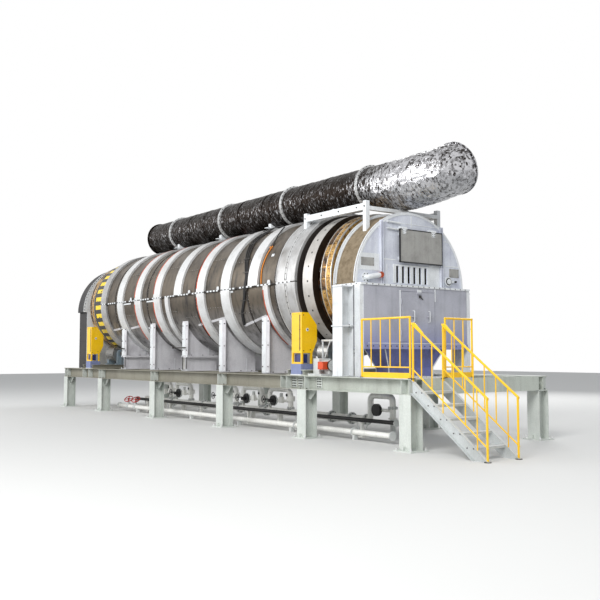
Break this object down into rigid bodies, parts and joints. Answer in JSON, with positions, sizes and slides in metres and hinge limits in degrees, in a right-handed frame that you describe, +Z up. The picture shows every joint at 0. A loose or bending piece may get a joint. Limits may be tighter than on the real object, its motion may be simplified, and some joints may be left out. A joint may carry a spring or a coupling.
{
  "type": "rotary kiln",
  "caption": "Rotary kiln: a turning drum in a clad heating casing, with discharge hood, feed hood, exhaust duct, support rollers, steel frame, platform and stair",
  "frame": {"origin": "centre of the bounding box at ground level", "axes": "+X along the kiln towards the discharge hood and the stair, +Z up, -Y the side of the walkway guards"},
  "size_m": [18.625, 4.07, 6.2936],
  "materials": {
    "frame_paint": "satin",
    "column_paint": "satin",
    "cladding": "satin",
    "hoop_steel": "satin",
    "end_plate": "satin",
    "saddle_paint": "satin",
    "drum_steel": "rough",
    "tyre_steel": "satin",
    "tyre_black": "satin",
    "seal_tan": "rough",
    "roller_steel": "polished",
    "bearing_paint": "satin",
    "safety_yellow": "gloss",
    "stand_blue": "satin",
    "motor_paint": "satin",
    "box_orange": "satin",
    "hood_paint": "satin",
    "hood_white": "satin",
    "collar_tan": "rough",
    "flap_grey": "satin",
    "stair_steel": "satin",
    "duct_foil": "polished",
    "duct_posts": "satin",
    "gas_paint": "gloss"
  },
  "bodies": {
    "body": {"main_beams": "frame_paint", "stringers": "frame_paint", "cross_beams": "frame_paint", "columns": "column_paint", "base_plates": "column_paint", "beam_plates": "frame_paint", "casing_lower": "cladding", "casing_upper": "cladding", "hoops_lower": "hoop_steel", "hoops_upper": "hoop_steel", "end_rings": "hoop_steel", "end_walls": "end_plate", "split_flanges": "hoop_steel", "saddles": "saddle_paint", "saddle_feet": "saddle_paint", "bearing_blocks": "bearing_paint", "roller_beds": "frame_paint", "nip_guards": "safety_yellow", "guard_stands": "stand_blue", "drive_motor": "motor_paint", "motor_box": "box_orange", "hood_rear_plate": "hood_white", "hood_collar": "collar_tan", "hood_face": "hood_paint", "hood_ribs": "hood_paint", "hood_flap": "flap_grey", "flap_brackets": "hood_white", "hood_ledge": "hood_white", "hood_box": "hood_paint", "access_door": "hood_paint", "hood_hopper": "hood_paint", "hood_legs": "hood_white", "feed_hood": "hood_paint", "feed_hood_plate": "hood_white", "platform_deck": "stair_steel", "platform_rails": "safety_yellow", "stair_stringers": "stair_steel", "stair_treads": "stair_steel", "stair_rails": "safety_yellow", "duct_run": "duct_foil", "duct_reducer": "duct_foil", "duct_elbow": "duct_foil", "duct_frame": "duct_posts", "duct_feet": "duct_posts", "gas_pipes": "gas_paint"},
    "drum": {"drum_shell_feed": "drum_steel", "drum_shell_middle": "drum_steel", "drum_shell_discharge": "drum_steel", "tyre_near": "tyre_steel", "tyre_far": "tyre_black", "tyre_pads": "drum_steel", "seal_rings": "seal_tan"},
    "roller_near_front": {"roller_near_front": "roller_steel"},
    "roller_near_rear": {"roller_near_rear": "roller_steel"},
    "roller_far_front": {"roller_far_front": "roller_steel"},
    "roller_far_rear": {"roller_far_rear": "roller_steel"}
  },
  "joints": [
    {"name": "drum_spin", "type": "hinge", "parent": "body", "child": "drum", "pos_m": [0, 0, 3.35], "axis": [1, 0, 0], "continuous": true},
    {"name": "roller_near_front_spin", "type": "hinge", "parent": "body", "child": "roller_near_front", "pos_m": [3.9925, -0.9052, 1.78215], "axis": [1, 0, 0], "continuous": true},
    {"name": "roller_near_rear_spin", "type": "hinge", "parent": "body", "child": "roller_near_rear", "pos_m": [3.9925, 0.9052, 1.78215], "axis": [1, 0, 0], "continuous": true},
    {"name": "roller_far_front_spin", "type": "hinge", "parent": "body", "child": "roller_far_front", "pos_m": [-7.3675, -0.9052, 1.78215], "axis": [1, 0, 0], "continuous": true},
    {"name": "roller_far_rear_spin", "type": "hinge", "parent": "body", "child": "roller_far_rear", "pos_m": [-7.3675, 0.9052, 1.78215], "axis": [1, 0, 0], "continuous": true}
  ],
  "couplings": [
    {"joint": "roller_near_front_spin", "follows": "drum_spin", "ratio": -6.24},
    {"joint": "roller_near_rear_spin", "follows": "drum_spin", "ratio": -6.24},
    {"joint": "roller_far_front_spin", "follows": "drum_spin", "ratio": -6.24},
    {"joint": "roller_far_rear_spin", "follows": "drum_spin", "ratio": -6.24}
  ]
}
